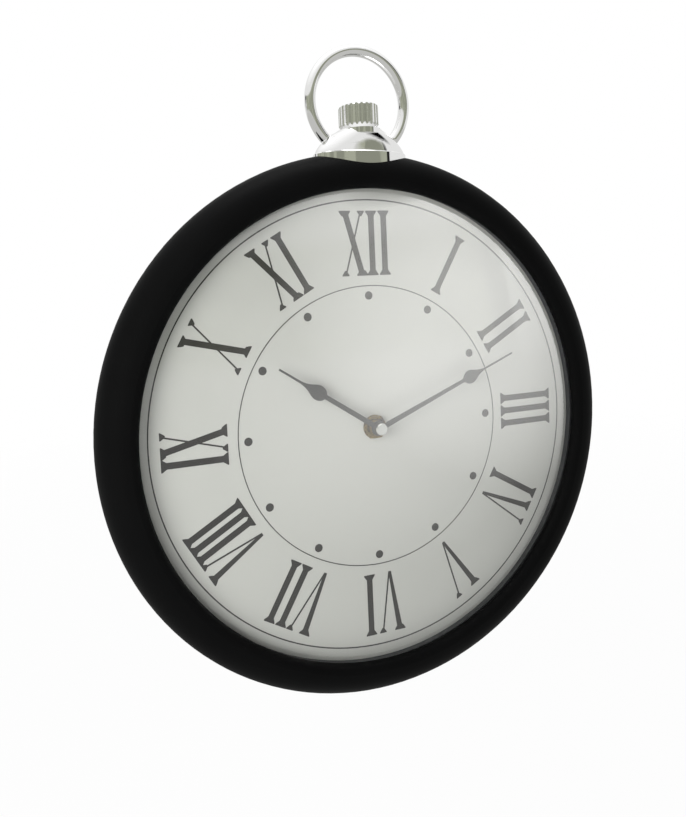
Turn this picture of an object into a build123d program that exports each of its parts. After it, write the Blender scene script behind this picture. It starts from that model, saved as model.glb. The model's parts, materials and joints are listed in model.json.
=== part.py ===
from build123d import *
import math
import os

# Wall clock in the shape of a pocket watch: a round case with a domed glass, a printed dial
# with two hands, a chromed pendant with crown and bow, and a battery quartz movement behind
# the dial.
#
# Frame: +Z up, the clock faces -Y, and the wall is the plane y = 0. The origin is the middle
# of the hanging hole, in the plane of the wall. A name that ends in _H is a distance in front
# of the wall. Places across the clock are (x to the right, y upwards) from the arbor axis.

# ------------------------------------------------------------ driving dimensions (mm, deg)
CASE_R = 150.0            # outer radius of the case
CASE_DEPTH = 31.4         # depth of the case, from the wall to its crest
HANG_R = 104.0            # height of the hanging hole above the arbor axis
DIAL_H = 20.0             # front face of the dial
PENDANT_H = 16.5          # middle plane of the pendant, the crown and the bow
HOUR_ANGLE = 303.6        # hour hand, clockwise from twelve: about eleven past ten
MINUTE_ANGLE = 68.1       # minute hand, clockwise from twelve
RUN = 0.05                # radial clearance of a running pivot
FIT = 0.1                 # radial clearance of a fastener in its hole

MID_H = CASE_DEPTH / 2


def front_plane(height, x=0.0, y=0.0):
    """Plane parallel to the wall, x to the right and y up, its normal towards the viewer."""
    return Plane(origin=(x, -height, y - HANG_R), x_dir=(1, 0, 0), z_dir=(0, -1, 0))


def hand_plane(height, angle):
    """Plane parallel to the wall whose y points along a hand at `angle` clockwise from twelve."""
    turn = math.radians(angle)
    return Plane(origin=(0, -height, -HANG_R), x_dir=(math.cos(turn), 0, -math.sin(turn)),
                 z_dir=(0, -1, 0))


def level_plane(height, z):
    """Horizontal plane z above the arbor axis, centred `height` in front of the wall."""
    return Plane(origin=(0, -height, z - HANG_R), x_dir=(1, 0, 0), z_dir=(0, 0, 1))


def keep(part, label):
    """Name a finished piece and write it."""
    part.label = label
    export_step(part, f"parts/{label}.step")


# Half section through the arbor axis: its x is the radius and its y the height over the wall.
SECTION = Plane(origin=(0, 0, -HANG_R), x_dir=(1, 0, 0), z_dir=(0, 0, -1))
ARBOR_AXIS = Axis((0, 0, -HANG_R), (0, -1, 0))

os.makedirs("parts", exist_ok=True)

# ------------------------------------------------------------------------------ case ring
WALL = 2.0                # wall of the case moulding
CREST_R = 134.0           # radius of the crest, the foremost circle of the case
BACK_R = 142.0            # outer edge of the land that rests on the wall
LAND_R = 140.0            # inner edge of that land
LIP_R = 129.4             # free edge of the lip that holds the glass
LIP_H = 27.6              # where the rounding of the lip ends
SEAT_H = 26.4             # underside of the lip
BORE_R = 134.5            # bore that takes the glass, the spacer and the dial
BORE_WALL_R = 136.5       # outside of the wall round that bore
COVER_H = 1.2             # outer face of the back cover, recessed from the wall
COVER_T = 2.0
COVER_IN_H = COVER_H + COVER_T
SCREW_CIRCLE_R = 137.5
COVER_SCREWS = 6
SCREW_R = 1.25            # plain shank that stands for the thread of a small screw
BOSS_R = 2.98
BOSS_TOP_H = 15.0
SCREW_HOLE = 11.0         # depth of a screw hole
STUD_R = 2.5              # stud that holds the pendant

with BuildPart() as case_ring:
    with BuildSketch(SECTION):
        with BuildLine():
            EllipticalCenterArc((CREST_R, LIP_H), CREST_R - LIP_R, CASE_DEPTH - LIP_H, 180,
                                arc_size=-90)
            EllipticalCenterArc((CREST_R, MID_H), CASE_R - CREST_R, MID_H, 90, arc_size=-90)
            EllipticalCenterArc((BACK_R, MID_H), CASE_R - BACK_R, MID_H, 0, arc_size=-90)
            Polyline((BACK_R, 0), (LAND_R, 0), (LAND_R, WALL), (BACK_R, WALL))
            EllipticalCenterArc((BACK_R, MID_H), CASE_R - WALL - BACK_R, MID_H - WALL, 270,
                                arc_size=90)
            EllipticalCenterArc((BORE_WALL_R, MID_H), CASE_R - WALL - BORE_WALL_R,
                                MID_H - WALL, 0, arc_size=90)
            Polyline((BORE_WALL_R, CASE_DEPTH - WALL), (BORE_WALL_R, COVER_IN_H),
                     (BORE_R, COVER_IN_H), (BORE_R, SEAT_H), (LIP_R, SEAT_H), (LIP_R, LIP_H))
        make_face()
    revolve(axis=ARBOR_AXIS)
    with BuildSketch(front_plane(COVER_IN_H)):
        with PolarLocations(SCREW_CIRCLE_R, COVER_SCREWS):
            Circle(BOSS_R)
    extrude(amount=BOSS_TOP_H - COVER_IN_H)
    with BuildSketch(front_plane(COVER_IN_H)):
        with PolarLocations(SCREW_CIRCLE_R, COVER_SCREWS):
            Circle(SCREW_R + RUN)
    extrude(amount=SCREW_HOLE, mode=Mode.SUBTRACT)
    with BuildSketch(level_plane(PENDANT_H, BORE_WALL_R + WALL)):
        Circle(STUD_R + FIT)
    extrude(amount=CASE_R - BORE_WALL_R, mode=Mode.SUBTRACT)
keep(case_ring.part, "case_ring")

# --------------------------------------------------------------- glass, its seal and spacer
STACK_R = 134.2           # outer radius of all that lies in the bore
GASKET_T = 0.8
GASKET_R = 130.2
GLASS_T = 2.4
GLASS_RIM_R = 129.6       # inner edge of the flat rim of the glass
GLASS_RISE = 14.0         # rise of the dome over its rim
RIM_TOP_H = SEAT_H - GASKET_T
RIM_BACK_H = RIM_TOP_H - GLASS_T
SPACER_R = 131.3
DIAL_T = 1.0
DIAL_BACK_H = DIAL_H - DIAL_T

with BuildPart() as lens_gasket:
    with BuildSketch(front_plane(RIM_TOP_H)):
        Circle(STACK_R)
        Circle(GASKET_R, mode=Mode.SUBTRACT)
    extrude(amount=GASKET_T)
keep(lens_gasket.part, "lens_gasket")

dome_r = (GLASS_RIM_R**2 + GLASS_RISE**2) / (2 * GLASS_RISE)
dome_half_angle = math.degrees(math.asin(GLASS_RIM_R / dome_r))
dome_centre_h = RIM_TOP_H + GLASS_RISE - dome_r

with BuildPart() as glass_dome:
    with BuildSketch(SECTION):
        with BuildLine():
            CenterArc((0, dome_centre_h), dome_r, 90, -dome_half_angle)
            Polyline((GLASS_RIM_R, RIM_TOP_H), (STACK_R, RIM_TOP_H), (STACK_R, RIM_BACK_H),
                     (GLASS_RIM_R, RIM_BACK_H))
            CenterArc((0, dome_centre_h - GLASS_T), dome_r, 90 - dome_half_angle,
                      dome_half_angle)
            Line((0, RIM_BACK_H + GLASS_RISE), (0, RIM_TOP_H + GLASS_RISE))
        make_face()
    revolve(axis=ARBOR_AXIS)
keep(glass_dome.part, "glass_dome")

with BuildPart() as dial_spacer:
    with BuildSketch(front_plane(DIAL_H)):
        Circle(STACK_R)
        Circle(SPACER_R, mode=Mode.SUBTRACT)
    extrude(amount=RIM_BACK_H - DIAL_H)
keep(dial_spacer.part, "dial_spacer")

# ----------------------------------------------------------------------------------- dial
BUSH_R = 4.0              # threaded bush that passes through the dial

with BuildPart() as dial_plate:
    with BuildSketch(front_plane(DIAL_BACK_H)):
        Circle(STACK_R)
        Circle(BUSH_R + FIT, mode=Mode.SUBTRACT)
    extrude(amount=DIAL_T)
keep(dial_plate.part, "dial_plate")

# Printed scale: hour dots, two circles and twelve roman numerals that stand with their feet
# towards the arbor.
INK_T = 0.08
DOT_R = 2.25
DOT_CIRCLE_R = 72.6
INNER_LINE_R = 78.0
INNER_LINE = 0.5
OUTER_LINE_R = 124.4
OUTER_LINE = 0.7
FOOT_R = 83.5             # foot of the numerals
HEAD_R = 118.5            # head of the numerals
THICK = 3.4               # thick stroke
THIN = 0.9                # thin stroke
SERIF = 0.6               # thickness of a serif at its ends
SERIF_OUT = 1.6           # how far a serif stands out on each side
BRACKET = 2.9             # where the bracket of a serif runs out into the stroke

# The letters of each numeral with the places of their strokes, across the numeral:
# I (middle); V (head of thick stroke, apex, head of thin stroke);
# X (head and foot of thick stroke, head and foot of thin stroke).
NUMERALS = [
    [("I", 0.0)],
    [("I", -4.3), ("I", 4.3)],
    [("I", -7.5), ("I", 0.0), ("I", 7.5)],
    [("I", -7.1), ("V", 1.4, 6.3, 11.8)],
    [("V", -3.5, 0.7, 9.4)],
    [("V", -11.2, -5.8, -0.4), ("I", 6.8)],
    [("V", -13.6, -10.2, -4.1), ("I", 1.6), ("I", 8.8)],
    [("V", -12.8, -9.4, -4.1), ("I", 0.3), ("I", 6.1), ("I", 12.0)],
    [("I", -7.3), ("X", -1.1, 7.4, 7.7, -1.7)],
    [("X", -5.0, 5.6, 5.7, -5.6)],
    [("X", -8.7, 1.2, 1.2, -9.1), ("I", 8.2)],
    [("X", -12.4, -3.0, -2.9, -13.0), ("I", 3.2), ("I", 10.7)],
]


def stroke(x_head, x_foot, width):
    """Corners of a straight stroke from the head line to the foot line."""
    half = width / 2
    return [(x_head - half, HEAD_R), (x_head + half, HEAD_R),
            (x_foot + half, FOOT_R), (x_foot - half, FOOT_R)]


def serif(x, radius, width):
    """Corners of a bracketed serif across a stroke's end, inwards from the head or foot line."""
    half = width / 2 + SERIF_OUT
    inwards = 1 if radius == FOOT_R else -1
    edge = radius + inwards * SERIF
    bracket = radius + inwards * BRACKET
    return [(x - half, radius), (x + half, radius), (x + half, edge),
            (x + width / 2, bracket), (x - width / 2, bracket), (x - half, edge)]


def letter_outlines(letter, *places):
    """All polygons of one letter."""
    if letter == "I":
        x = places[0]
        return [stroke(x, x, THICK), serif(x, HEAD_R, THICK), serif(x, FOOT_R, THICK)]
    if letter == "V":
        thick_x, apex, thin_x = places
        tip = THICK / 4
        wedge = [(thick_x - THICK / 2, HEAD_R), (thick_x + THICK / 2, HEAD_R),
                 (apex + tip, FOOT_R), (apex - tip, FOOT_R)]
        return [wedge, stroke(thin_x, apex + tip - THIN / 2, THIN),
                serif(thick_x, HEAD_R, THICK), serif(thin_x, HEAD_R, THIN)]
    thick_head, thick_foot, thin_head, thin_foot = places
    return [stroke(thick_head, thick_foot, THICK), stroke(thin_head, thin_foot, THIN),
            serif(thick_head, HEAD_R, THICK), serif(thick_foot, FOOT_R, THICK),
            serif(thin_head, HEAD_R, THIN), serif(thin_foot, FOOT_R, THIN)]


with BuildPart() as dial_print:
    with BuildSketch(front_plane(DIAL_H)):
        for line_r, line_width in ((OUTER_LINE_R, OUTER_LINE), (INNER_LINE_R, INNER_LINE)):
            Circle(line_r + line_width / 2)
            Circle(line_r - line_width / 2, mode=Mode.SUBTRACT)
        with PolarLocations(DOT_CIRCLE_R, 12):
            Circle(DOT_R)
        for hour, letters in enumerate(NUMERALS, start=1):
            with Locations(Location((0, 0, 0), (0, 0, -30 * hour))):
                for letter in letters:
                    for outline in letter_outlines(*letter):
                        Polygon(outline)
    extrude(amount=INK_T)
keep(dial_print.part, "dial_print")

# ---------------------------------------------------------------- back cover and hanger
COVER_R = LAND_R - 0.3    # outer radius of the back cover, inside the land
CLAMP_OUT_R = 133.8       # rim of the cover that presses on the back of the dial
CLAMP_IN_R = 131.0
OPENING = 60.0            # square opening round the movement
OPENING_CORNER = 6.0
HANGER_W = 36.0
HANGER_D = 18.0
HANGER_HOLE_R = 4.0
HOOK_ROOM_R = 8.0         # window behind the hanging hole, room for the head of the hook
HANGER_SCREW_X = 13.0
HANGER_SCREW_HEAD_R = 2.4
HANGER_BOSS_R = 3.2
HANGER_BOSS_L = 6.0
HANGER_BOSS_FLOOR = 1.0   # what is left of a boss beyond its screw hole
PAN_HEAD_R = 2.4
PAN_HEAD_L = 0.9
SHANK_L = 9.0
HANGER_SHANK_L = 7.0
RECESS_L = 2.9            # cross recess of the screws: length, width and depth
RECESS_W = 0.6
RECESS_D = 0.55
COUNTERSINK_GAP = 0.02    # how far a countersunk head stays under the face of the plate

with BuildPart() as back_cover:
    with BuildSketch(front_plane(COVER_H)):
        Circle(COVER_R)
    extrude(amount=COVER_T)
    with BuildSketch(front_plane(COVER_IN_H)):
        Circle(CLAMP_OUT_R)
        Circle(CLAMP_IN_R, mode=Mode.SUBTRACT)
    extrude(amount=DIAL_BACK_H - COVER_IN_H)
    with BuildSketch(front_plane(COVER_IN_H, 0, HANG_R)):
        with GridLocations(2 * HANGER_SCREW_X, 0, 2, 1):
            Circle(HANGER_BOSS_R)
    extrude(amount=HANGER_BOSS_L)
    with BuildSketch(front_plane(COVER_H)):
        RectangleRounded(OPENING, OPENING, OPENING_CORNER)
        with Locations((0, HANG_R)):
            Circle(HOOK_ROOM_R)
        with PolarLocations(SCREW_CIRCLE_R, COVER_SCREWS):
            Circle(SCREW_R + FIT)
    extrude(amount=COVER_T, mode=Mode.SUBTRACT)
    with BuildSketch(front_plane(COVER_H, 0, HANG_R)):
        with GridLocations(2 * HANGER_SCREW_X, 0, 2, 1):
            Circle(SCREW_R + RUN)
    extrude(amount=COVER_T + HANGER_BOSS_L - HANGER_BOSS_FLOOR, mode=Mode.SUBTRACT)
keep(back_cover.part, "back_cover")

with BuildPart() as cover_screws:
    with BuildSketch(front_plane(COVER_H)):
        with PolarLocations(SCREW_CIRCLE_R, COVER_SCREWS):
            Circle(SCREW_R)
    extrude(amount=SHANK_L)
    with BuildSketch(front_plane(COVER_H)):
        with PolarLocations(SCREW_CIRCLE_R, COVER_SCREWS):
            Circle(PAN_HEAD_R)
    extrude(amount=-PAN_HEAD_L)
    with BuildSketch(front_plane(COVER_H - PAN_HEAD_L)):
        with PolarLocations(SCREW_CIRCLE_R, COVER_SCREWS):
            Rectangle(RECESS_L, RECESS_W)
            Rectangle(RECESS_W, RECESS_L)
    extrude(amount=RECESS_D, mode=Mode.SUBTRACT)
keep(cover_screws.part, "cover_screws")

with BuildPart() as hanger_plate:
    with BuildSketch(front_plane(0, 0, HANG_R)):
        SlotOverall(HANGER_W, HANGER_D)
        Circle(HANGER_HOLE_R, mode=Mode.SUBTRACT)
    extrude(amount=COVER_H)
    with Locations(front_plane(0, 0, HANG_R)):
        with Locations((HANGER_SCREW_X, 0), (-HANGER_SCREW_X, 0)):
            Cylinder(SCREW_R + RUN, COVER_H, align=(Align.CENTER, Align.CENTER, Align.MIN),
                     mode=Mode.SUBTRACT)
            Cone(HANGER_SCREW_HEAD_R + RUN, SCREW_R + RUN, COVER_H,
                 align=(Align.CENTER, Align.CENTER, Align.MIN), mode=Mode.SUBTRACT)
keep(hanger_plate.part, "hanger_plate")

with BuildPart() as hanger_screws:
    with Locations(front_plane(0, 0, HANG_R)):
        with Locations((HANGER_SCREW_X, 0), (-HANGER_SCREW_X, 0)):
            Cone(HANGER_SCREW_HEAD_R, SCREW_R, COVER_H - COUNTERSINK_GAP,
                 align=(Align.CENTER, Align.CENTER, Align.MIN))
            Cylinder(SCREW_R, HANGER_SHANK_L, align=(Align.CENTER, Align.CENTER, Align.MIN))
            Box(RECESS_L, RECESS_W, 2 * RECESS_D, mode=Mode.SUBTRACT)
            Box(RECESS_W, RECESS_L, 2 * RECESS_D, mode=Mode.SUBTRACT)
keep(hanger_screws.part, "hanger_screws")

# ------------------------------------------------------------------ pendant, crown and bow
BAND_A = 27.0             # half width of the pendant's foot band
BAND_B = 12.6             # half depth of the band
BAND_TOP = 149.1
BAND_FOOT = 136.0
BAND_BEVEL = 0.5
# Bell of the pendant, from inside the band to the neck: height, half width, half depth.
BELL = [(146.6, 26.9, 12.3), (149.1, 26.2, 12.0), (151.6, 24.9, 11.8), (154.4, 22.6, 11.6),
        (157.2, 19.6, 11.3), (159.4, 16.2, 11.0), (161.4, 12.6, 10.6)]
COLLAR_R = 12.0
COLLAR_FOOT = 158.6
COLLAR_TOP = 161.4
NECK_R = 8.9
CROWN_FOOT = 161.8
CROWN_BEVEL_TOP = 164.3
CROWN_TOP = 174.4
CROWN_R = 10.7
CROWN_FLUTES = 24
FLUTE_R = 0.8
CROWN_EDGE = 0.9
STUD_TOP = 170.0
STUD_FOOT = 141.0
STUD_CHAMFER = 0.5
WASHER_TOP = 146.6        # under the roof of the case's hollow
WASHER_T = 1.0
WASHER_R = 5.0
NUT_R = 4.6               # over the corners
NUT_L = 3.2
BOW_CENTRE = 176.4        # centre of the bow's circle
BOW_R = 27.8              # centre line of the bow
WIRE_R = 3.0
BOW_PIVOT = 157.5         # height of the bow's pivots
PIN_R = 1.5
PIN_IN = 11.6             # inner end of a pivot pin, from the middle
SOCKET_GAP = 0.3          # room between the bow's end and its socket
BOW_END = math.sqrt(BOW_R**2 - (BOW_CENTRE - BOW_PIVOT)**2)
BOW_END_ANGLE = math.degrees(math.asin((BOW_PIVOT - BOW_CENTRE) / BOW_R))
PIVOT_AXIS = Axis((0, -PENDANT_H, BOW_PIVOT - HANG_R), (1, 0, 0))

# Socket for an end of the bow: a round pocket for the end itself, and over the whole swing the
# room that the wire sweeps, whose inner side is a circle round the bow's centre.
pocket_r = WIRE_R + SOCKET_GAP
pocket_x = BOW_END - pocket_r
sweep_r = BOW_R - WIRE_R - SOCKET_GAP
sweep_angle = math.degrees(math.acos(pocket_x / sweep_r))
bow_reach = BOW_CENTRE - BOW_PIVOT
pocket_y = bow_reach - sweep_r * math.sin(math.radians(sweep_angle))

with BuildPart() as pendant:
    with BuildSketch(level_plane(PENDANT_H, BAND_FOOT)):
        Ellipse(BAND_A, BAND_B)
    extrude(amount=BAND_TOP - BAND_FOOT)
    chamfer(pendant.faces().sort_by(Axis.Z)[-1].edges(), BAND_BEVEL)
    for bell_z, half_width, half_depth in BELL:
        with BuildSketch(level_plane(PENDANT_H, bell_z)):
            Ellipse(half_width, half_depth)
    loft()
    with BuildSketch(level_plane(PENDANT_H, COLLAR_FOOT)):
        Circle(COLLAR_R)
    extrude(amount=COLLAR_TOP - COLLAR_FOOT)
    # Saddle: the foot follows the outside of the case.
    with BuildSketch(SECTION):
        with BuildLine():
            EllipticalCenterArc((CREST_R, MID_H), CASE_R - CREST_R, MID_H, 90, arc_size=-90)
            EllipticalCenterArc((BACK_R, MID_H), CASE_R - BACK_R, MID_H, 0, arc_size=-90)
            Polyline((BACK_R, 0), (CREST_R / 2, 0), (CREST_R / 2, CASE_DEPTH),
                     (CREST_R, CASE_DEPTH))
        make_face()
    revolve(axis=ARBOR_AXIS, mode=Mode.SUBTRACT)
    with BuildSketch(level_plane(PENDANT_H, BAND_FOOT)):
        Circle(STUD_R + FIT)
    extrude(amount=CROWN_TOP - BAND_FOOT, mode=Mode.SUBTRACT)
    # Sockets and pin holes of the bow, on the right and mirrored to the left.
    for side in (1, -1):
        with BuildSketch(Plane(PIVOT_AXIS.position, x_dir=(side, 0, 0), z_dir=(0, 0, side))):
            with BuildLine():
                CenterArc((0, bow_reach), sweep_r, -sweep_angle, sweep_angle)
                Polyline((sweep_r, bow_reach), (BOW_R, bow_reach), (BOW_R, 0), (pocket_x, 0),
                         (pocket_x, pocket_y))
            make_face()
        revolve(axis=PIVOT_AXIS, revolution_arc=180, mode=Mode.SUBTRACT)
        with BuildSketch(Plane(PIVOT_AXIS.position, x_dir=(0, 1, 0),
                               z_dir=(side, 0, 0)).offset(pocket_x)):
            Circle(pocket_r)
        extrude(amount=BAND_A, mode=Mode.SUBTRACT)
        with BuildSketch(Plane(PIVOT_AXIS.position, x_dir=(0, 1, 0),
                               z_dir=(side, 0, 0)).offset(PIN_IN - SOCKET_GAP)):
            Circle(PIN_R + RUN)
        extrude(amount=BAND_A, mode=Mode.SUBTRACT)
    # Grooves for the wire with the bow swung right down, to the front and to the back.
    for side in (1, -1):
        with BuildLine(level_plane(PENDANT_H, BOW_PIVOT)) as swung_path:
            CenterArc((0, side * bow_reach), BOW_R, side * BOW_END_ANGLE,
                      side * (180 - 2 * BOW_END_ANGLE))
        with BuildSketch(Plane(origin=swung_path.line @ 0, z_dir=swung_path.line % 0)):
            Circle(pocket_r)
        sweep(mode=Mode.SUBTRACT)
keep(pendant.part, "pendant")

PENDANT_AXIS = Axis((0, -PENDANT_H, 0), (0, 0, 1))

with BuildPart() as crown:
    with BuildSketch(front_plane(PENDANT_H)):
        with BuildLine():
            Polyline((0, COLLAR_TOP), (NECK_R, COLLAR_TOP), (NECK_R, CROWN_FOOT),
                     (CROWN_R, CROWN_BEVEL_TOP), (CROWN_R, CROWN_TOP - CROWN_EDGE))
            RadiusArc((CROWN_R, CROWN_TOP - CROWN_EDGE), (CROWN_R - CROWN_EDGE, CROWN_TOP),
                      -CROWN_EDGE)
            Polyline((CROWN_R - CROWN_EDGE, CROWN_TOP), (0, CROWN_TOP), (0, COLLAR_TOP))
        make_face()
    revolve(axis=PENDANT_AXIS)
    with BuildSketch(level_plane(PENDANT_H, CROWN_FOOT)):
        with PolarLocations(CROWN_R, CROWN_FLUTES):
            Circle(FLUTE_R)
    extrude(amount=CROWN_TOP - CROWN_FOOT, mode=Mode.SUBTRACT)
    with BuildSketch(level_plane(PENDANT_H, COLLAR_TOP)):
        Circle(STUD_R + RUN)
    extrude(amount=STUD_TOP - COLLAR_TOP, mode=Mode.SUBTRACT)
keep(crown.part, "crown")

with BuildPart() as pendant_stud:
    with BuildSketch(level_plane(PENDANT_H, STUD_FOOT)):
        Circle(STUD_R)
    extrude(amount=STUD_TOP - STUD_FOOT)
    chamfer(pendant_stud.edges(), STUD_CHAMFER)
keep(pendant_stud.part, "pendant_stud")

with BuildPart() as pendant_washer:
    with BuildSketch(level_plane(PENDANT_H, WASHER_TOP)):
        Circle(WASHER_R)
        Circle(STUD_R + FIT, mode=Mode.SUBTRACT)
    extrude(amount=-WASHER_T)
keep(pendant_washer.part, "pendant_washer")

with BuildPart() as pendant_nut:
    with BuildSketch(level_plane(PENDANT_H, WASHER_TOP - WASHER_T)):
        RegularPolygon(NUT_R, 6)
        Circle(STUD_R + RUN, mode=Mode.SUBTRACT)
    extrude(amount=-NUT_L)
keep(pendant_nut.part, "pendant_nut")

with BuildPart() as bow:
    with BuildLine(front_plane(PENDANT_H)) as bow_path:
        CenterArc((0, BOW_CENTRE), BOW_R, BOW_END_ANGLE, 180 - 2 * BOW_END_ANGLE)
    with BuildSketch(Plane(origin=bow_path.line @ 0, z_dir=bow_path.line % 0)):
        Circle(WIRE_R)
    sweep()
    with Locations(bow_path.line @ 0, bow_path.line @ 1):
        Sphere(WIRE_R)
    for side in (1, -1):
        with BuildSketch(Plane(PIVOT_AXIS.position, x_dir=(0, 1, 0),
                               z_dir=(side, 0, 0)).offset(PIN_IN)):
            Circle(PIN_R)
        extrude(amount=BOW_END - PIN_IN)
keep(bow.part, "bow")

# ------------------------------------------------------------------- movement: its housing
MOVEMENT = 56.0           # side of the square movement
MOVEMENT_CORNER = 4.0
MOVEMENT_BACK_H = 2.0
MOVEMENT_FRONT_H = 18.0
SHELL = 1.2               # wall of the movement's shells
BEARING_D = 0.6           # depth of the blind bearings in the front shell
SPLIT_H = 10.0            # joint between front and back shell
BAY_TOP = -11.2           # upper edge of the battery bay
BAY_WALL = 0.6            # wall between the bay and the wheels, on each side of its middle
PLATE_BACK_H = 13.0       # train plate that carries the inner pivots
PLATE_FRONT_H = 14.0
PLATE_W = 52.6
PLATE_L = 35.0
PLATE_CORNER = 3.0
POSTS = [(-24.0, -7.0), (24.0, -7.0), (24.0, 24.0), (-24.0, 12.0)]
POST_R = 1.8
BUSH_FLANGE_R = 5.6
BUSH_FLANGE_T = 0.6
BUSH_TOP_H = 22.9
BUSH_CHAMFER = 0.4

INNER = MOVEMENT / 2 - SHELL
CAVITY_BACK_H = MOVEMENT_BACK_H + SHELL
CAVITY_FRONT_H = MOVEMENT_FRONT_H - SHELL

# --------------------------------------------------------------- movement: wheels and mesh
PRESSURE_ANGLE = math.radians(25)
ADDENDUM = 0.7            # in modules
DEDENDUM = 1.0            # in modules
BACKLASH = 0.10           # share of the tooth's width that is left out
ARBOR_R = 0.4
ARBOR_GAP = 0.1           # how far an arbor stays inside the far face of a plate
WINDOWS = 5               # round windows of a wheel
WINDOW_CIRCLE = 0.57      # radius of their ring, as a share of the pitch radius
WINDOW_R = 1.6            # windows of the large wheels
SMALL_WINDOW_R = 1.1

# Distance and direction of each arbor from the one that it meshes with.
MOTION_DISTANCE = 9.6
THIRD_DISTANCE = 10.0
INTERMEDIATE_DISTANCE = 10.5
ROTOR_DISTANCE = 7.5
MINUTE_WHEEL_DIR = 150.0
KNOB_DIR = 120.0
THIRD_DIR = 30.0
INTERMEDIATE_DIR = 100.0
ROTOR_DIR = 60.0

# Numbers of teeth. The rotor makes 1800 turns an hour, the second wheel 60, the centre wheel
# one and the hour wheel one twelfth.
ROTOR_T, INTERMEDIATE_T = 10, 50
INTERMEDIATE_PINION_T, SECOND_T = 10, 60
SECOND_PINION_T, THIRD_T = 8, 64
THIRD_PINION_T, CENTRE_T = 8, 60
CANNON_T, MINUTE_WHEEL_T, KNOB_T = 12, 36, 12
MINUTE_PINION_T, HOUR_T = 10, 40


def polar(distance, direction, start=(0.0, 0.0)):
    """Point at a distance and direction (degrees) from a start point."""
    angle = math.radians(direction)
    return (start[0] + distance * math.cos(angle), start[1] + distance * math.sin(angle))


def involute(angle):
    """Involute function of a pressure angle."""
    return math.tan(angle) - angle


def gear_outline(teeth, module, phase):
    """Corners of an involute gear that has the middle of a tooth in direction `phase`."""
    pitch_r = teeth * module / 2
    base_r = pitch_r * math.cos(PRESSURE_ANGLE)
    half_tooth = math.pi / (2 * teeth) * (1 - BACKLASH) + involute(PRESSURE_ANGLE)
    flank = []
    for radius in (pitch_r - DEDENDUM * module, pitch_r, pitch_r + ADDENDUM * module):
        shrink = involute(math.acos(min(1, base_r / radius)))
        flank.append((radius, half_tooth - shrink))
    corners = []
    for tooth in range(teeth):
        middle = math.radians(phase + tooth * 360 / teeth)
        for side, points in ((-1, flank), (1, reversed(flank))):
            for radius, half_angle in points:
                angle = middle + side * half_angle
                corners.append((radius * math.cos(angle), radius * math.sin(angle)))
    return corners


def mesh_phase(phase, teeth, mate_teeth, direction):
    """Phase of the gear that lies in `direction` from a gear and meshes with it."""
    offset = (direction - phase) * teeth / 360
    return direction + 180 - (0.5 - offset) * 360 / mate_teeth


def mesh_module(distance, teeth, mate_teeth):
    """Module of two meshing gears from the distance between their arbors."""
    return 2 * distance / (teeth + mate_teeth)


def wheel_and_arbor(centre, gears, arbor_r, arbor_low, arbor_high, window_r=0.0):
    """Gears on one arbor; each gear is (teeth, module, phase, low height, high height).

    The first gear gets a ring of round windows when window_r isn't zero.
    """
    with BuildPart() as arbor_part:
        for teeth, module, phase, low, high in gears:
            with BuildSketch(front_plane(low, *centre)):
                Polygon(gear_outline(teeth, module, phase))
            extrude(amount=high - low)
        if window_r:
            teeth, module, phase, low, high = gears[0]
            with BuildSketch(front_plane(low, *centre)):
                with PolarLocations(teeth * module / 2 * WINDOW_CIRCLE, WINDOWS):
                    Circle(window_r)
            extrude(amount=high - low, mode=Mode.SUBTRACT)
        with BuildSketch(front_plane(arbor_low, *centre)):
            Circle(arbor_r)
        extrude(amount=arbor_high - arbor_low)
    return arbor_part.part


minute_wheel_at = polar(MOTION_DISTANCE, MINUTE_WHEEL_DIR)
knob_at = polar(MOTION_DISTANCE, KNOB_DIR, minute_wheel_at)
third_at = polar(THIRD_DISTANCE, THIRD_DIR)
intermediate_at = polar(INTERMEDIATE_DISTANCE, INTERMEDIATE_DIR)
rotor_at = polar(ROTOR_DISTANCE, ROTOR_DIR, intermediate_at)

cannon_m = mesh_module(MOTION_DISTANCE, CANNON_T, MINUTE_WHEEL_T)
hour_m = mesh_module(MOTION_DISTANCE, MINUTE_PINION_T, HOUR_T)
centre_m = mesh_module(THIRD_DISTANCE, THIRD_PINION_T, CENTRE_T)
third_m = mesh_module(THIRD_DISTANCE, SECOND_PINION_T, THIRD_T)
second_m = mesh_module(INTERMEDIATE_DISTANCE, INTERMEDIATE_PINION_T, SECOND_T)
rotor_m = mesh_module(ROTOR_DISTANCE, ROTOR_T, INTERMEDIATE_T)

# Levels of the wheels, from the back shell (rotor) to the front shell (hour wheel).
ROTOR_PINION_H = (6.9, 8.1)
INTERMEDIATE_H = (7.0, 7.8)
INTERMEDIATE_PINION_H = (7.8, 9.5)
SECOND_H = (8.5, 9.3)
SECOND_PINION_H = (9.3, 11.0)
THIRD_H = (10.0, 10.8)
THIRD_PINION_H = (10.8, 12.5)
CENTRE_H = (11.5, 12.3)
CANNON_H = (14.2, 15.4)
MINUTE_WHEEL_H = (14.4, 15.2)
MINUTE_PINION_H = (15.2, 16.5)
HOUR_H = (15.6, 16.4)
BACK_PIVOT_H = 2.7        # inner ends of the arbors in the back shell
FRONT_PIVOT_H = 17.3      # ends of the arbors in the front shell
BACK_BOSS_H = 4.4
BACK_BOSS_R = 1.4

MINUTE_TUBE_R = 1.75
MINUTE_TUBE_FOOT_H = 11.3
MINUTE_SHOULDER_H = 26.9  # seat of the minute hand
MINUTE_END_R = 1.4
MINUTE_END_H = 28.9
SECOND_ARBOR_R = 0.5
SECOND_ARBOR_TOP_H = 23.0
MINUTE_BORE_TOP_H = 24.0
HOUR_TUBE_R = 2.6
HOUR_TUBE_TOP_H = 25.9

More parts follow.
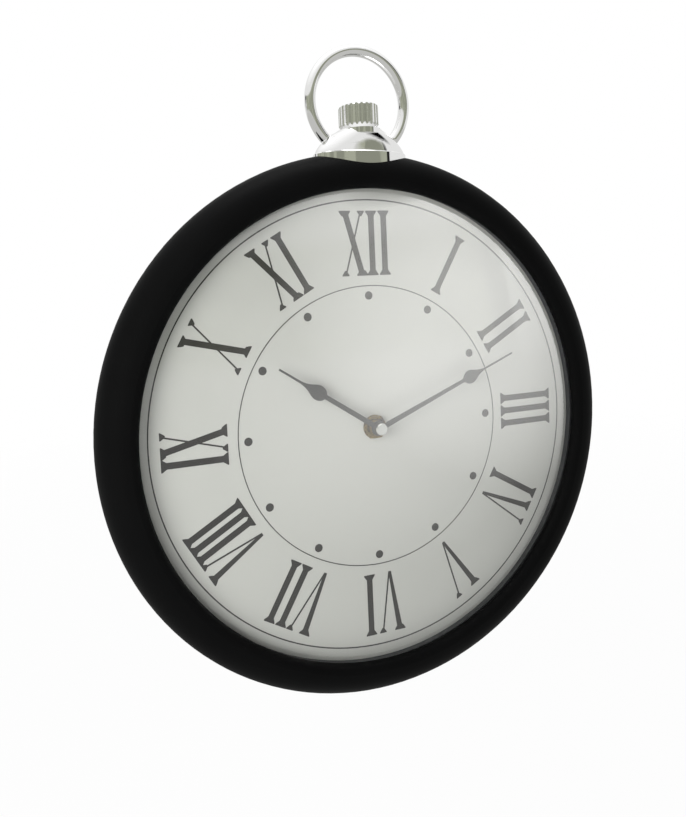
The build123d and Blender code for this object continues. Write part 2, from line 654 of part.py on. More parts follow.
with BuildPart() as minute_arbor:
    add(wheel_and_arbor((0, 0), [(CANNON_T, cannon_m, 0, *CANNON_H)],
                        MINUTE_TUBE_R, MINUTE_TUBE_FOOT_H, MINUTE_SHOULDER_H))
    with BuildSketch(front_plane(MINUTE_SHOULDER_H)):
        Circle(MINUTE_END_R)
    extrude(amount=MINUTE_END_H - MINUTE_SHOULDER_H)
    with BuildSketch(front_plane(MINUTE_TUBE_FOOT_H)):
        Circle(SECOND_ARBOR_R + FIT)
    extrude(amount=MINUTE_BORE_TOP_H - MINUTE_TUBE_FOOT_H, mode=Mode.SUBTRACT)
keep(minute_arbor.part, "minute_arbor")

with BuildPart() as minute_wheel:
    add(wheel_and_arbor(
        minute_wheel_at,
        [(MINUTE_WHEEL_T, cannon_m,
          mesh_phase(0, CANNON_T, MINUTE_WHEEL_T, MINUTE_WHEEL_DIR), *MINUTE_WHEEL_H),
         (MINUTE_PINION_T, hour_m, 0, *MINUTE_PINION_H)],
        ARBOR_R, PLATE_BACK_H + ARBOR_GAP, FRONT_PIVOT_H, window_r=SMALL_WINDOW_R))
keep(minute_wheel.part, "minute_wheel")

with BuildPart() as hour_wheel:
    with BuildSketch(front_plane(HOUR_H[0])):
        Polygon(gear_outline(HOUR_T, hour_m, mesh_phase(0, MINUTE_PINION_T, HOUR_T,
                                                        MINUTE_WHEEL_DIR + 180)))
    extrude(amount=HOUR_H[1] - HOUR_H[0])
    with BuildSketch(front_plane(HOUR_H[1])):
        Circle(HOUR_TUBE_R)
    extrude(amount=HOUR_TUBE_TOP_H - HOUR_H[1])
    with BuildSketch(front_plane(HOUR_H[0])):
        Circle(MINUTE_TUBE_R + RUN)
    extrude(amount=HOUR_TUBE_TOP_H - HOUR_H[0], mode=Mode.SUBTRACT)
keep(hour_wheel.part, "hour_wheel")

with BuildPart() as centre_wheel:
    with BuildSketch(front_plane(CENTRE_H[0])):
        Polygon(gear_outline(CENTRE_T, centre_m, 0))
        Circle(MINUTE_TUBE_R + RUN, mode=Mode.SUBTRACT)
        with PolarLocations(CENTRE_T * centre_m / 2 * WINDOW_CIRCLE, WINDOWS):
            Circle(WINDOW_R, mode=Mode.SUBTRACT)
    extrude(amount=CENTRE_H[1] - CENTRE_H[0])
keep(centre_wheel.part, "centre_wheel")

third_wheel = wheel_and_arbor(
    third_at,
    [(THIRD_T, third_m, 0, *THIRD_H),
     (THIRD_PINION_T, centre_m, mesh_phase(0, CENTRE_T, THIRD_PINION_T, THIRD_DIR),
      *THIRD_PINION_H)],
    ARBOR_R, BACK_PIVOT_H, PLATE_FRONT_H - ARBOR_GAP, window_r=WINDOW_R)
keep(third_wheel, "third_wheel")

second_wheel = wheel_and_arbor(
    (0, 0),
    [(SECOND_T, second_m, 0, *SECOND_H),
     (SECOND_PINION_T, third_m, mesh_phase(0, THIRD_T, SECOND_PINION_T, THIRD_DIR + 180),
      *SECOND_PINION_H)],
    SECOND_ARBOR_R, BACK_PIVOT_H, SECOND_ARBOR_TOP_H, window_r=WINDOW_R)
keep(second_wheel, "second_wheel")

intermediate_wheel = wheel_and_arbor(
    intermediate_at,
    [(INTERMEDIATE_T, rotor_m, 0, *INTERMEDIATE_H),
     (INTERMEDIATE_PINION_T, second_m,
      mesh_phase(0, SECOND_T, INTERMEDIATE_PINION_T, INTERMEDIATE_DIR),
      *INTERMEDIATE_PINION_H)],
    ARBOR_R, BACK_PIVOT_H, PLATE_FRONT_H - ARBOR_GAP, window_r=SMALL_WINDOW_R)
keep(intermediate_wheel, "intermediate_wheel")

ROTOR_HUB_R = 0.8
ROTOR_HUB_H = 4.7
MAGNET_R = 2.6
MAGNET_H = (4.9, 6.3)

with BuildPart() as rotor:
    add(wheel_and_arbor(
        rotor_at,
        [(ROTOR_T, rotor_m, mesh_phase(0, INTERMEDIATE_T, ROTOR_T, ROTOR_DIR),
          *ROTOR_PINION_H)],
        ARBOR_R, BACK_PIVOT_H, PLATE_FRONT_H - ARBOR_GAP))
    with BuildSketch(front_plane(ROTOR_HUB_H, *rotor_at)):
        Circle(ROTOR_HUB_R)
    extrude(amount=ROTOR_PINION_H[0] - ROTOR_HUB_H)
keep(rotor.part, "rotor")

with BuildPart() as rotor_magnet:
    with BuildSketch(front_plane(MAGNET_H[0], *rotor_at)):
        Circle(MAGNET_R)
        Circle(ROTOR_HUB_R, mode=Mode.SUBTRACT)
    extrude(amount=MAGNET_H[1] - MAGNET_H[0])
keep(rotor_magnet.part, "rotor_magnet")

KNOB_ARBOR_R = 1.0
KNOB_HEAD_R = 4.5
KNOB_HEAD_H = (0.4, 1.9)
KNOB_GRIPS = 18
KNOB_GRIP_R = 0.35

with BuildPart() as setting_knob:
    add(wheel_and_arbor(
        knob_at,
        [(KNOB_T, cannon_m,
          mesh_phase(mesh_phase(0, CANNON_T, MINUTE_WHEEL_T, MINUTE_WHEEL_DIR),
                     MINUTE_WHEEL_T, KNOB_T, KNOB_DIR), *MINUTE_WHEEL_H)],
        ARBOR_R, KNOB_HEAD_H[0], FRONT_PIVOT_H))
    with BuildSketch(front_plane(KNOB_HEAD_H[0], *knob_at)):
        Circle(KNOB_ARBOR_R)
    extrude(amount=MINUTE_WHEEL_H[0] - KNOB_HEAD_H[0])
    with BuildSketch(front_plane(KNOB_HEAD_H[0], *knob_at)):
        Circle(KNOB_HEAD_R)
        with PolarLocations(KNOB_HEAD_R, KNOB_GRIPS):
            Circle(KNOB_GRIP_R, mode=Mode.SUBTRACT)
    extrude(amount=KNOB_HEAD_H[1] - KNOB_HEAD_H[0])
keep(setting_knob.part, "setting_knob")

with BuildPart() as train_plate:
    with BuildSketch(front_plane(PLATE_BACK_H)):
        with Locations((0, (INNER + BAY_TOP + BAY_WALL) / 2)):
            RectangleRounded(PLATE_W, PLATE_L, PLATE_CORNER)
        Circle(MINUTE_TUBE_R + RUN, mode=Mode.SUBTRACT)
        with Locations(third_at, intermediate_at, rotor_at, minute_wheel_at):
            Circle(ARBOR_R + RUN, mode=Mode.SUBTRACT)
        with Locations(knob_at):
            Circle(KNOB_ARBOR_R + RUN, mode=Mode.SUBTRACT)
    extrude(amount=PLATE_FRONT_H - PLATE_BACK_H)
keep(train_plate.part, "train_plate")

# --------------------------------------------------------------- movement: shells and bush
BACK_POST_H = PLATE_BACK_H - CAVITY_BACK_H
CAVITY_FOOT = BAY_TOP + 2 * BAY_WALL
BAY_HEAD = BAY_TOP - BAY_WALL

with BuildPart() as movement_front_cover:
    with BuildSketch(front_plane(SPLIT_H)):
        RectangleRounded(MOVEMENT, MOVEMENT, MOVEMENT_CORNER)
    extrude(amount=MOVEMENT_FRONT_H - SPLIT_H)
    with BuildSketch(front_plane(MOVEMENT_BACK_H)):
        RectangleRounded(MOVEMENT, MOVEMENT, MOVEMENT_CORNER)
        with Locations((0, BAY_TOP + MOVEMENT / 2)):
            Rectangle(MOVEMENT, MOVEMENT, mode=Mode.SUBTRACT)
    extrude(amount=SPLIT_H - MOVEMENT_BACK_H)
    with BuildSketch(front_plane(SPLIT_H)):
        with Locations((0, (INNER + CAVITY_FOOT) / 2)):
            RectangleRounded(2 * INNER, INNER - CAVITY_FOOT, MOVEMENT_CORNER - SHELL)
    extrude(amount=CAVITY_FRONT_H - SPLIT_H, mode=Mode.SUBTRACT)
    with BuildSketch(front_plane(MOVEMENT_BACK_H)):
        with Locations((0, (BAY_HEAD - INNER) / 2)):
            RectangleRounded(2 * INNER, INNER + BAY_HEAD, MOVEMENT_CORNER - SHELL)
    extrude(amount=CAVITY_FRONT_H - MOVEMENT_BACK_H, mode=Mode.SUBTRACT)
    with BuildSketch(front_plane(PLATE_FRONT_H)):
        with Locations(*POSTS):
            Circle(POST_R)
    extrude(amount=CAVITY_FRONT_H - PLATE_FRONT_H)
    with BuildSketch(front_plane(CAVITY_FRONT_H)):
        Circle(BUSH_FLANGE_R + RUN)
    extrude(amount=BUSH_FLANGE_T, mode=Mode.SUBTRACT)
    with BuildSketch(front_plane(CAVITY_FRONT_H)):
        Circle(BUSH_R + RUN)
    extrude(amount=SHELL, mode=Mode.SUBTRACT)
    with BuildSketch(front_plane(CAVITY_FRONT_H)):
        with Locations(minute_wheel_at, knob_at):
            Circle(ARBOR_R + RUN)
    extrude(amount=BEARING_D, mode=Mode.SUBTRACT)
keep(movement_front_cover.part, "movement_front_cover")

BOARD_W = 16.0
BOARD_L = 9.0
BOARD_AT = (-17.2, 21.4)
BOARD_H = BACK_BOSS_H
BOARD_T = 0.8
BOARD_CORNER = 0.6
BOARD_POSTS = [(-23.5, 18.5), (-11.0, 24.0)]

with BuildPart() as movement_back_cover:
    with BuildSketch(front_plane(MOVEMENT_BACK_H)):
        RectangleRounded(MOVEMENT, MOVEMENT, MOVEMENT_CORNER)
        with Locations((0, BAY_TOP + FIT - MOVEMENT / 2)):
            Rectangle(MOVEMENT, MOVEMENT, mode=Mode.SUBTRACT)
    extrude(amount=SPLIT_H - MOVEMENT_BACK_H)
    with BuildSketch(front_plane(CAVITY_BACK_H)):
        with Locations((0, (INNER + CAVITY_FOOT) / 2)):
            RectangleRounded(2 * INNER, INNER - CAVITY_FOOT, MOVEMENT_CORNER - SHELL)
    extrude(amount=SPLIT_H - CAVITY_BACK_H, mode=Mode.SUBTRACT)
    with BuildSketch(front_plane(CAVITY_BACK_H)):
        with Locations(*POSTS):
            Circle(POST_R)
    extrude(amount=BACK_POST_H)
    with BuildSketch(front_plane(CAVITY_BACK_H)):
        with Locations((0, 0), third_at, intermediate_at, rotor_at, *BOARD_POSTS):
            Circle(BACK_BOSS_R)
    extrude(amount=BACK_BOSS_H - CAVITY_BACK_H)
    with BuildSketch(front_plane(BACK_PIVOT_H - RUN)):
        Circle(SECOND_ARBOR_R + RUN)
        with Locations(third_at, intermediate_at, rotor_at):
            Circle(ARBOR_R + RUN)
    extrude(amount=BACK_BOSS_H - BACK_PIVOT_H + RUN, mode=Mode.SUBTRACT)
    with BuildSketch(front_plane(MOVEMENT_BACK_H)):
        with Locations(knob_at):
            Circle(KNOB_ARBOR_R + RUN)
    extrude(amount=SHELL, mode=Mode.SUBTRACT)
keep(movement_back_cover.part, "movement_back_cover")

with BuildPart() as threaded_bush:
    with BuildSketch(front_plane(CAVITY_FRONT_H)):
        Circle(BUSH_FLANGE_R)
    extrude(amount=BUSH_FLANGE_T)
    with BuildSketch(front_plane(CAVITY_FRONT_H)):
        Circle(BUSH_R)
    extrude(amount=BUSH_TOP_H - CAVITY_FRONT_H)
    chamfer(threaded_bush.faces().sort_by(Axis.Y)[0].edges(), BUSH_CHAMFER)
    with BuildSketch(front_plane(CAVITY_FRONT_H)):
        Circle(HOUR_TUBE_R + RUN)
    extrude(amount=BUSH_TOP_H - CAVITY_FRONT_H, mode=Mode.SUBTRACT)
keep(threaded_bush.part, "threaded_bush")

# ------------------------------------------------------------- fixing to the dial, hands
RUBBER_R = 11.0
WASHER_OUT_R = 6.6
WASHER_THICK = 0.4
WASHER_CHAMFER = 0.12
HEX_R = 6.9               # hexagon nut over its corners
HEX_L = 2.2
HEX_CHAMFER_R = 6.3       # round chamfer of the nut's front
HEX_CONE = 1.5            # how fast that chamfer widens
HAND_T = 0.5
HOUR_HAND_H = 25.2
HOUR_HUB_R = 4.2
MINUTE_HUB_R = 3.7
SPADE_TANGENTS = ((1.0, 0.4), (-0.1, 1.0))    # of a spade's outline at its foot and its head

with BuildPart() as rubber_washer:
    with BuildSketch(front_plane(MOVEMENT_FRONT_H)):
        Circle(RUBBER_R)
        Circle(BUSH_R + FIT, mode=Mode.SUBTRACT)
    extrude(amount=DIAL_BACK_H - MOVEMENT_FRONT_H)
keep(rubber_washer.part, "rubber_washer")

with BuildPart() as brass_washer:
    with BuildSketch(front_plane(DIAL_H)):
        Circle(WASHER_OUT_R)
        Circle(BUSH_R + FIT, mode=Mode.SUBTRACT)
    extrude(amount=WASHER_THICK)
    chamfer(brass_washer.faces().sort_by(Axis.Y)[0].outer_wire().edges(), WASHER_CHAMFER)
keep(brass_washer.part, "brass_washer")

with BuildPart() as hex_nut:
    with BuildSketch(front_plane(DIAL_H + WASHER_THICK)):
        RegularPolygon(HEX_R, 6)
    extrude(amount=HEX_L)
    with Locations(front_plane(DIAL_H + WASHER_THICK)):
        Cone(HEX_CHAMFER_R + HEX_L * HEX_CONE, HEX_CHAMFER_R, HEX_L,
             align=(Align.CENTER, Align.CENTER, Align.MIN), mode=Mode.INTERSECT)
    with BuildSketch(front_plane(DIAL_H + WASHER_THICK)):
        Circle(BUSH_R + RUN)
    extrude(amount=HEX_L, mode=Mode.SUBTRACT)
keep(hex_nut.part, "hex_nut")


def hand(height, angle, thick, hub_r, hole_r, stem, spade, needle, length):
    """Spade hand: stem is its half width at the hub and at the spade; spade is its foot,
    middle, shoulder radius and half width; needle is its half width at the foot and the tip."""
    spade_foot, spade_mid, spade_head, spade_half = spade
    with BuildPart() as hand_part:
        with BuildSketch(hand_plane(height, angle)):
            with BuildLine():
                Line((0, 0), (stem[0], 0))
                Line((stem[0], 0), (stem[1], spade_foot))
                Spline((stem[1], spade_foot), (spade_half, spade_mid),
                       (needle[0], spade_head), tangents=SPADE_TANGENTS)
                Polyline((needle[0], spade_head), (needle[1], length), (0, length))
                mirror(about=Plane.YZ)
            make_face()
            Circle(hub_r)
            Circle(hole_r, mode=Mode.SUBTRACT)
        extrude(amount=thick)
    return hand_part.part


hour_hand = hand(HOUR_HAND_H, HOUR_ANGLE, HAND_T, HOUR_HUB_R, HOUR_TUBE_R,
                 stem=(1.45, 1.25), spade=(36.4, 40.9, 52.4, 4.05), needle=(0.65, 0.55),
                 length=66.7)
keep(hour_hand, "hour_hand")

minute_hand = hand(MINUTE_SHOULDER_H, MINUTE_ANGLE, HAND_T, MINUTE_HUB_R, MINUTE_END_R,
                   stem=(1.5, 0.95), spade=(58.4, 62.6, 73.2, 3.85), needle=(0.5, 0.4),
                   length=93.8)
keep(minute_hand, "minute_hand")

CAP_FOOT_H = MINUTE_SHOULDER_H + HAND_T
CAP_R = 3.25
CAP_L = 2.8
CAP_EDGE = 0.8

with BuildPart() as cap_nut:
    with BuildSketch(front_plane(CAP_FOOT_H)):
        Circle(CAP_R)
    extrude(amount=CAP_L)
    fillet(cap_nut.faces().sort_by(Axis.Y)[0].edges(), CAP_EDGE)
    with BuildSketch(front_plane(CAP_FOOT_H)):
        Circle(MINUTE_END_R + RUN)
    extrude(amount=MINUTE_END_H + FIT - CAP_FOOT_H, mode=Mode.SUBTRACT)
keep(cap_nut.part, "cap_nut")

# -------------------------------------------------------- step motor and electronic board
COIL_X = 4.0
COIL_Y = 23.6
CORE_W = 2.6
CORE_T = 0.8
STATOR_H = (5.2, 6.0)
STATOR_L = 24.0
STATOR_FOOT = 13.2
STATOR_HEAD = 20.3
STATOR_TAB = 3.0
ROTOR_HOLE_R = 3.0
COIL_H = STATOR_H[1] + CORE_T / 2
BOBBIN_L = 17.2
FLANGE_T = 1.0
FLANGE_W = 5.8
SPOOL_W = 4.0
SPOOL_T = 2.2
WINDING_W = 5.0
SPOOL_CORNER = 0.4
FLANGE_CORNER = 0.8
WINDING_CORNER = 1.6


def coil_plane(x):
    """Plane across the coil at x; its own x is up the clock and its y towards the dial."""
    return Plane(origin=(x, -COIL_H, COIL_Y - HANG_R), x_dir=(0, 0, 1), z_dir=(1, 0, 0))


with BuildPart() as stator:
    with BuildSketch(front_plane(STATOR_H[0])):
        with Locations((COIL_X, (STATOR_FOOT + STATOR_HEAD) / 2)):
            Rectangle(STATOR_L, STATOR_HEAD - STATOR_FOOT)
        for side in (-1, 1):
            with Locations((COIL_X + side * (STATOR_L - STATOR_TAB) / 2,
                            (STATOR_HEAD + COIL_Y + CORE_W / 2) / 2)):
                Rectangle(STATOR_TAB, COIL_Y + CORE_W / 2 - STATOR_HEAD)
        with Locations(rotor_at):
            Circle(ROTOR_HOLE_R, mode=Mode.SUBTRACT)
    extrude(amount=STATOR_H[1] - STATOR_H[0])
keep(stator.part, "stator")

with BuildPart() as coil_core:
    with BuildSketch(coil_plane(COIL_X - STATOR_L / 2)):
        Rectangle(CORE_W, CORE_T)
    extrude(amount=STATOR_L)
keep(coil_core.part, "coil_core")

with BuildPart() as coil_bobbin:
    with BuildSketch(coil_plane(COIL_X - BOBBIN_L / 2)):
        RectangleRounded(SPOOL_W, SPOOL_T, SPOOL_CORNER)
    extrude(amount=BOBBIN_L)
    for flange_x in (COIL_X - BOBBIN_L / 2, COIL_X + BOBBIN_L / 2 - FLANGE_T):
        with BuildSketch(coil_plane(flange_x)):
            RectangleRounded(FLANGE_W, FLANGE_W, FLANGE_CORNER)
        extrude(amount=FLANGE_T)
    with BuildSketch(coil_plane(COIL_X - BOBBIN_L / 2)):
        Rectangle(CORE_W + 2 * RUN, CORE_T + 2 * RUN)
    extrude(amount=BOBBIN_L, mode=Mode.SUBTRACT)
keep(coil_bobbin.part, "coil_bobbin")

with BuildPart() as coil_winding:
    with BuildSketch(coil_plane(COIL_X - BOBBIN_L / 2 + FLANGE_T)):
        RectangleRounded(WINDING_W, WINDING_W, WINDING_CORNER)
        RectangleRounded(SPOOL_W, SPOOL_T, SPOOL_CORNER, mode=Mode.SUBTRACT)
    extrude(amount=BOBBIN_L - 2 * FLANGE_T)
keep(coil_winding.part, "coil_winding")

CHIP_AT = (-19.5, 21.8)
CHIP_R = 2.2
CHIP_T = 0.9
CHIP_EDGE = 0.72
CRYSTAL_AT = (-12.6, 19.5)
CRYSTAL_R = 1.0
CRYSTAL_L = 6.0

with BuildPart() as circuit_board:
    with BuildSketch(front_plane(BOARD_H, *BOARD_AT)):
        RectangleRounded(BOARD_W, BOARD_L, BOARD_CORNER)
    extrude(amount=BOARD_T)
keep(circuit_board.part, "circuit_board")

with BuildPart() as clock_chip:
    with BuildSketch(front_plane(BOARD_H + BOARD_T, *CHIP_AT)):
        Circle(CHIP_R)
    extrude(amount=CHIP_T)
    fillet(clock_chip.faces().sort_by(Axis.Y)[0].edges(), CHIP_EDGE)
keep(clock_chip.part, "clock_chip")

with BuildPart() as quartz_crystal:
    with BuildSketch(Plane(origin=(CRYSTAL_AT[0] - CRYSTAL_L / 2,
                                   -BOARD_H - BOARD_T - CRYSTAL_R,
                                   CRYSTAL_AT[1] - HANG_R), z_dir=(1, 0, 0))):
        Circle(CRYSTAL_R)
    extrude(amount=CRYSTAL_L)
keep(quartz_crystal.part, "quartz_crystal")

# ----------------------------------------------------------------- battery and its contacts
CELL_R = 7.25
CELL_L = 49.0
CELL_BACK = -24.6         # x of the cell's flat end
CELL_Y = (BAY_HEAD - INNER) / 2
CELL_H = CAVITY_FRONT_H - CELL_R - FIT / 2
NUB_R = 2.75
NUB_L = 1.2
CELL_EDGE = 0.6
CONTACT_T = 0.4
CONTACT_W = 9.0
CONTACT_D = 11.0
SPRING_FOOT_R = 4.0
SPRING_HEAD_R = 2.5
SPRING_WALL = 1.0


def cell_plane(x):
    """Plane across the battery bay at x, centred on the cell."""
    return Plane(origin=(x, -CELL_H, CELL_Y - HANG_R), x_dir=(0, 0, 1), z_dir=(1, 0, 0))


with BuildPart() as battery:
    with BuildSketch(cell_plane(CELL_BACK)):
        Circle(CELL_R)
    extrude(amount=CELL_L)
    fillet(battery.edges().filter_by(GeomType.CIRCLE), CELL_EDGE)
    with BuildSketch(cell_plane(CELL_BACK + CELL_L)):
        Circle(NUB_R)
    extrude(amount=NUB_L)
keep(battery.part, "battery")

with BuildPart() as positive_contact:
    with BuildSketch(cell_plane(INNER - CONTACT_T)):
        Rectangle(CONTACT_W, CONTACT_D)
    extrude(amount=CONTACT_T)
    with BuildSketch(cell_plane(INNER - CONTACT_T)):
        Circle(NUB_R)
    extrude(amount=-(INNER - CONTACT_T - CELL_BACK - CELL_L - NUB_L))
keep(positive_contact.part, "positive_contact")

with BuildPart() as negative_contact:
    with BuildSketch(cell_plane(-INNER)):
        Rectangle(CONTACT_W, CONTACT_D)
    extrude(amount=CONTACT_T)
    for spring_x, spring_r in ((-INNER + CONTACT_T, SPRING_FOOT_R), (CELL_BACK, SPRING_HEAD_R)):
        with BuildSketch(cell_plane(spring_x)):
            Circle(spring_r)
            Circle(spring_r - SPRING_WALL, mode=Mode.SUBTRACT)
    loft()
keep(negative_contact.part, "negative_contact")
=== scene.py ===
"""Looks of a wall clock in pocket-watch form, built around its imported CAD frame.

The CAD nodes keep their shapes and get procedural materials. Nodes whose edges catch the light
are replaced by copies with rounded edges, and the glass by a smooth lathed dome. All lengths
are metres in the row frame: +Z up, the clock faces -Y, the wall is y = 0.
"""
import json
import math

import bmesh
import bpy
from mathutils import Matrix, Vector

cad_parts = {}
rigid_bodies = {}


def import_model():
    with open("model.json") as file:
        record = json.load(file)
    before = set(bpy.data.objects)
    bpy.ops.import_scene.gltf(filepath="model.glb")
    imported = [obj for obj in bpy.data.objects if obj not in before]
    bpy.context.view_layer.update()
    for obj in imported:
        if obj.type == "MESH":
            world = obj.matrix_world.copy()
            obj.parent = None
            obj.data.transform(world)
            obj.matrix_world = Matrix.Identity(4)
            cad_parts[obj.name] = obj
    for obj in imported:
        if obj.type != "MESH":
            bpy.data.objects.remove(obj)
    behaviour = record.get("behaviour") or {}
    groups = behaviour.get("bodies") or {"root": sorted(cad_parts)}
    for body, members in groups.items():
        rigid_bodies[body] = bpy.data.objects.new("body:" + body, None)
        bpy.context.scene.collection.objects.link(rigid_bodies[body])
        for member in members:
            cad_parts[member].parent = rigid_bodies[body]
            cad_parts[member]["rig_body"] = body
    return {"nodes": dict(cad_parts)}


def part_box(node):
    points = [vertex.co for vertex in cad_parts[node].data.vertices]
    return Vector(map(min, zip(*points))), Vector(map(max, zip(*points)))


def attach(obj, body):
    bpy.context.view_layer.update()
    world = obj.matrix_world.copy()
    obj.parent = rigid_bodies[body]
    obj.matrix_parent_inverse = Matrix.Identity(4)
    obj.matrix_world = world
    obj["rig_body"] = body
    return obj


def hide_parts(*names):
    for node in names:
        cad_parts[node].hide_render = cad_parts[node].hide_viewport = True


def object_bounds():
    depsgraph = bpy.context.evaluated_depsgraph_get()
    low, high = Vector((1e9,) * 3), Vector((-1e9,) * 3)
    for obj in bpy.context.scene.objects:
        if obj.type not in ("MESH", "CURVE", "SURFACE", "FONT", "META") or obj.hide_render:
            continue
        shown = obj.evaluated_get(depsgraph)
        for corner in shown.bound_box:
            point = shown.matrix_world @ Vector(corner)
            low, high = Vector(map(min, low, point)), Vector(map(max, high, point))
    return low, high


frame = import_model()
cad_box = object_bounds()
nodes = frame["nodes"]

MM = 0.001
WHITE = (1, 1, 1, 1)


def body_of_node(node):
    """Name of the CAD body that a node belongs to."""
    return nodes[node]["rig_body"]


# ------------------------------------------------------------------------- node-tree tools
def add_node(tree, kind, inputs=None, **settings):
    """Add a shader node; an input is a value or the socket that feeds it."""
    node = tree.nodes.new(kind)
    for name, value in settings.items():
        setattr(node, name, value)
    for name, value in (inputs or {}).items():
        if isinstance(value, bpy.types.NodeSocket):
            tree.links.new(value, node.inputs[name])
        else:
            node.inputs[name].default_value = value
    return node


def math_node(tree, operation, first, second=0.0, clamp=False):
    """Result of a math operation on two values or sockets."""
    node = add_node(tree, "ShaderNodeMath", {0: first, 1: second}, operation=operation)
    node.use_clamp = clamp
    return node.outputs[0]


def blend_colour(tree, factor, first, second, mode="MIX"):
    """Mix of two colours or colour sockets."""
    node = add_node(tree, "ShaderNodeMix", data_type="RGBA", blend_type=mode)
    for index, value in ((0, factor), (6, first), (7, second)):
        if isinstance(value, bpy.types.NodeSocket):
            tree.links.new(value, node.inputs[index])
        else:
            node.inputs[index].default_value = value if index == 0 else (*value, 1)
    return node.outputs[2]


def map_range(tree, value, low, high, to_low=0.0, to_high=1.0):
    """Linear remap of a socket, clamped to the target range."""
    return add_node(tree, "ShaderNodeMapRange", {
        "Value": value, "From Min": low, "From Max": high,
        "To Min": to_low, "To Max": to_high}).outputs[0]


def noise(tree, scale, detail=3.0, roughness=0.5, stretch=None):
    """Noise of the object's own coordinates; scale is in features per metre."""
    place = add_node(tree, "ShaderNodeTexCoord").outputs["Object"]
    if stretch:
        place = add_node(tree, "ShaderNodeMapping", {"Vector": place, "Scale": stretch}).outputs[0]
    return add_node(tree, "ShaderNodeTexNoise", {
        "Vector": place, "Scale": scale, "Detail": detail, "Roughness": roughness}).outputs[0]


FACE_COSINE = 0.995             # cosine of the rounded normal to the flat one: on a face
EDGE_COSINE = 0.9               # and on a fully worn edge


def edge_mask(tree, radius):
    """One near the sharp edges of a piece, zero on its faces."""
    rounded = add_node(tree, "ShaderNodeBevel", {"Radius": radius}, samples=4).outputs[0]
    flat = add_node(tree, "ShaderNodeNewGeometry").outputs["Normal"]
    dot = add_node(tree, "ShaderNodeVectorMath", {0: rounded, 1: flat}, operation="DOT_PRODUCT")
    return map_range(tree, dot.outputs["Value"], FACE_COSINE, EDGE_COSINE)


def bump(tree, height, distance, strength=1.0, normal=None):
    """Bump from a height socket, on top of another normal if one is given."""
    inputs = {"Height": height, "Distance": distance, "Strength": strength}
    if normal is not None:
        inputs["Normal"] = normal
    return add_node(tree, "ShaderNodeBump", inputs).outputs[0]


def empty_material(name):
    """New material, its tree and its output node."""
    material = bpy.data.materials.new(name)
    material.use_nodes = True
    tree = material.node_tree
    tree.nodes.clear()
    return material, tree, add_node(tree, "ShaderNodeOutputMaterial")


def tinted(colour, factor):
    """Colour made lighter or darker."""
    return tuple(min(1.0, channel * factor) for channel in colour)


SCRATCH_SPACING = 12            # scratches are this many times coarser than the grain
SCRATCH_STRETCH = (1, 1, 22)
SCRATCH_DULLING = 0.12          # roughness that a scratch adds
WEAR_SCALE = 500                # patches of edge wear per metre


def surface(name, colour, roughness, metallic=0.0, specular=0.5, mottle=0.12, mottle_scale=60,
            smudge=0.08, smudge_scale=45, grain_scale=3000, grain=0.01 * MM, stretch=None,
            scratches=0.0, edge=None, extra=None):
    """Principled material with uneven colour, smudged gloss, fine grain and worn edges.

    grain is the height of the grain in metres; stretch draws the grain out along an axis, as
    brushing does; scratches is the depth of fine upright scratches in metres; edge is
    (radius, colour, roughness) of the wear along sharp edges; extra is a function that returns
    a changed colour socket, given the tree and the colour.
    """
    material, tree, output = empty_material(name)
    base = blend_colour(tree, noise(tree, mottle_scale, 5.0, 0.6),
                        tinted(colour, 1 - mottle), tinted(colour, 1 + mottle))
    if extra:
        base = extra(tree, base)
    gloss = map_range(tree, noise(tree, smudge_scale, 4.0, 0.6), 0.3, 0.7,
                      max(0.0, roughness - smudge), min(1.0, roughness + smudge))
    height = noise(tree, grain_scale, 3.0, 0.6, stretch)
    normal = bump(tree, height, grain)
    if scratches:
        marks = noise(tree, grain_scale / SCRATCH_SPACING, 2.0, 0.5, SCRATCH_STRETCH)
        fine = map_range(tree, marks, 0.62, 0.66)
        normal = bump(tree, fine, scratches, 1.0, normal)
        dulled = math_node(tree, "MULTIPLY", fine, SCRATCH_DULLING)
        gloss = math_node(tree, "ADD", gloss, dulled, True)
    if edge:
        radius, edge_colour, edge_roughness = edge
        patchy = map_range(tree, noise(tree, WEAR_SCALE, 4.0, 0.7), 0.35, 0.6)
        worn = math_node(tree, "MULTIPLY", edge_mask(tree, radius), patchy)
        base = blend_colour(tree, worn, base, edge_colour)
        gloss = add_node(tree, "ShaderNodeMix", {0: worn, 2: gloss, 3: edge_roughness}).outputs[0]
    shader = add_node(tree, "ShaderNodeBsdfPrincipled", {
        "Base Color": base, "Roughness": gloss, "Metallic": metallic, "Normal": normal,
        "Specular IOR Level": specular})
    tree.links.new(shader.outputs[0], output.inputs["Surface"])
    return material


# ------------------------------------------------------------------------------- materials
GLASS_IOR = 1.5
BOTH_FACES = 1.85               # reflection of two faces, relative to one
GLASS_TINT = (0.985, 0.99, 0.985, 1)
DUST = (0.9, 0.9, 0.88, 1)


